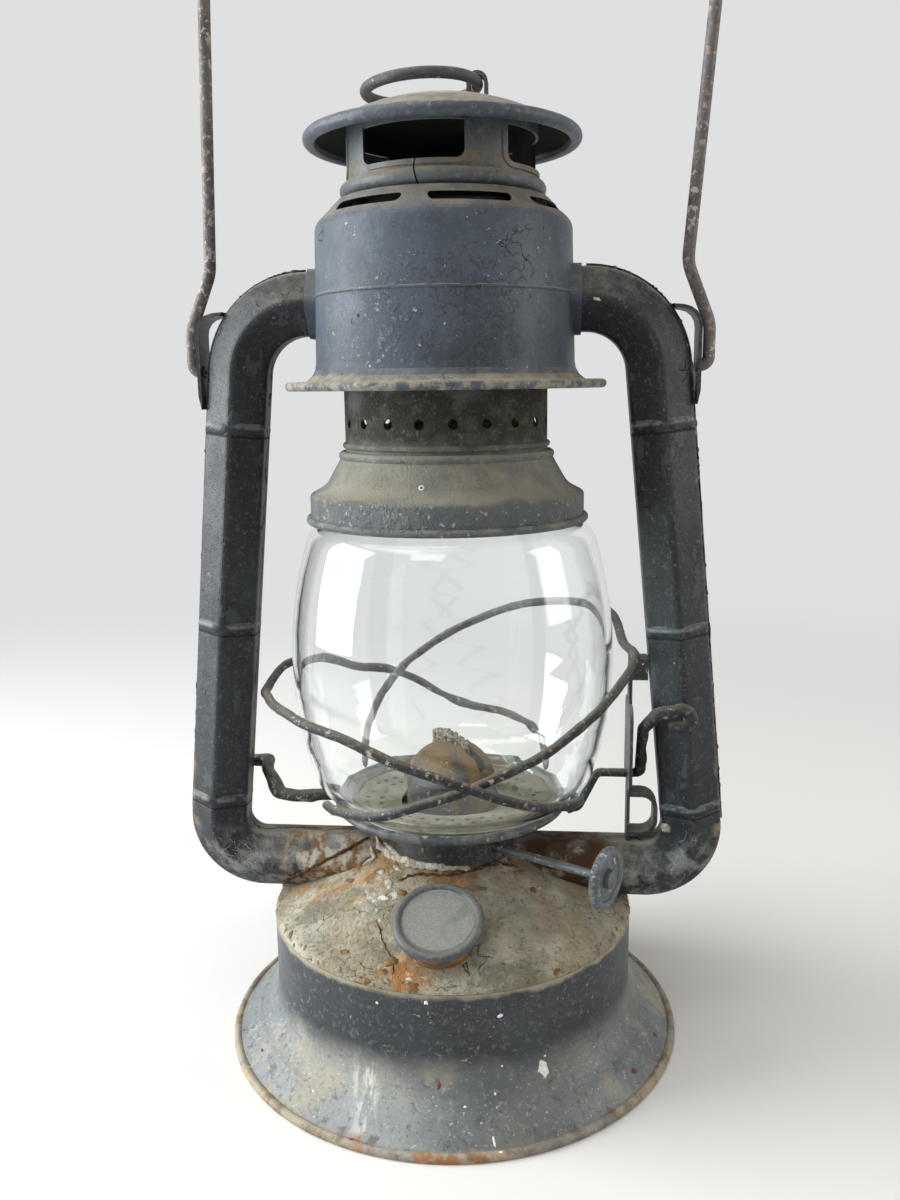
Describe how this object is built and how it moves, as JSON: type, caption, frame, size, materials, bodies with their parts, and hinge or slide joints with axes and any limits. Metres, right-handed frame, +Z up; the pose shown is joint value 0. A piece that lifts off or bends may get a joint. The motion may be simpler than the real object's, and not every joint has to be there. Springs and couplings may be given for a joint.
{
  "type": "kerosene tubular lantern",
  "caption": "Hurricane lantern: round fount, flat-wick burner, barrel glass globe with crossed guard wires, hollow side tubes, hooded chimney that lifts, crank lever and wire bail.",
  "frame": {"origin": "centre of the foot ring, on the lamp axis, at the surface it stands on", "axes": "+Z up along the lamp axis; +X towards the tube with the lift crank; -Y is the front with the filler"},
  "size_m": [0.2034, 0.172, 0.4563],
  "materials": {
    "body_paint": "satin blue-black over-paint, chipped and scratched",
    "crusted_paint": "dull, grey-tan crust with rust",
    "sooty_paint": "dusty grey-brown, matt",
    "wire_paint": "black, chipped to bare metal",
    "dull_steel": "dull and spotted",
    "brown_brass": "tan-brown patina",
    "clear_glass": "clear, a little dusty",
    "wick_cloth": "woven, charred at the top",
    "gasket_leather": "dry"
  },
  "bodies": {
    "frame": {"fount_shell": "body_paint", "fount_top": "crusted_paint", "fount_bottom": "crusted_paint", "filler_neck": "crusted_paint", "burner_collar": "body_paint", "burner_body": "brown_brass", "wick_tube": "brown_brass", "burner_gallery": "brown_brass", "burner_cone": "brown_brass", "left_tube_front": "body_paint", "left_tube_back": "body_paint", "right_tube_front": "body_paint", "right_tube_back": "body_paint", "hood": "body_paint", "hood_baffle": "body_paint", "chimney_spring": "dull_steel", "lift_bracket": "body_paint", "left_ear": "body_paint", "right_ear": "body_paint"},
    "carrier": {"globe": "clear_glass", "globe_plate": "brown_brass", "guard_wire_a": "wire_paint", "guard_wire_b": "wire_paint", "left_guide": "wire_paint"},
    "chimney": {"chimney_bell": "sooty_paint", "chimney_tube": "sooty_paint", "vent_collar": "body_paint", "chimney_cap": "body_paint", "ring_staple": "wire_paint"},
    "ring": {"lift_ring": "wire_paint"},
    "crank": {"lift_crank": "wire_paint"},
    "bail": {"bail": "wire_paint"},
    "wick_drive": {"wick_shaft": "dull_steel", "wick_wheels": "dull_steel", "wick_knob": "dull_steel"},
    "wick": {"wick": "wick_cloth"},
    "cap_seal": {"cap_gasket": "gasket_leather"},
    "filler_lid": {"filler_cap": "dull_steel"}
  },
  "joints": [
    {"name": "globe_lift", "type": "slide", "parent": "frame", "child": "carrier", "axis": [0, 0, 1], "range_m": [0, 0.0166], "deforming": ["chimney_spring"]},
    {"name": "chimney_pull", "type": "slide", "parent": "carrier", "child": "chimney", "axis": [0, 0, 1], "range_m": [0, 0.01], "stiffness_N_per_m": 150, "springref_m": -0.02, "deforming": ["chimney_spring"]},
    {"name": "ring_flip", "type": "hinge", "parent": "chimney", "child": "ring", "pos_m": [0.012, 0, 0.3429], "axis": [0, 1, 0], "range_deg": [0, 150]},
    {"name": "crank_turn", "type": "hinge", "parent": "frame", "child": "crank", "pos_m": [0.066, 0, 0.10144], "axis": [1, 0, 0], "range_deg": [0, 99.69]},
    {"name": "bail_swing", "type": "hinge", "parent": "frame", "child": "bail", "pos_m": [0, 0, 0.25014], "axis": [1, 0, 0], "range_deg": [-150, 150]},
    {"name": "knob_turn", "type": "hinge", "parent": "frame", "child": "wick_drive", "pos_m": [-0.00285, -0.00494, 0.0779], "axis": [0.866, -0.5, 0], "range_deg": [-60, 150]},
    {"name": "wick_raise", "type": "slide", "parent": "frame", "child": "wick", "axis": [0, 0, 1], "range_m": [-0.0046, 0.0114]},
    {"name": "cap_rise", "type": "slide", "parent": "frame", "child": "cap_seal", "axis": [0, -0.4384, 0.8988], "range_m": [0, 0.0046]},
    {"name": "cap_turn", "type": "hinge", "parent": "cap_seal", "child": "filler_lid", "pos_m": [0, -0.05, 0.05965], "axis": [0, -0.4384, 0.8988], "range_deg": [0, 540]}
  ],
  "couplings": [
    {"joint": "crank_turn", "follows": "globe_lift", "rad_per_m": 104.61},
    {"joint": "wick_raise", "follows": "knob_turn", "m_per_rad": 0.0043},
    {"joint": "cap_rise", "follows": "cap_turn", "m_per_rad": 0.00047746}
  ]
}
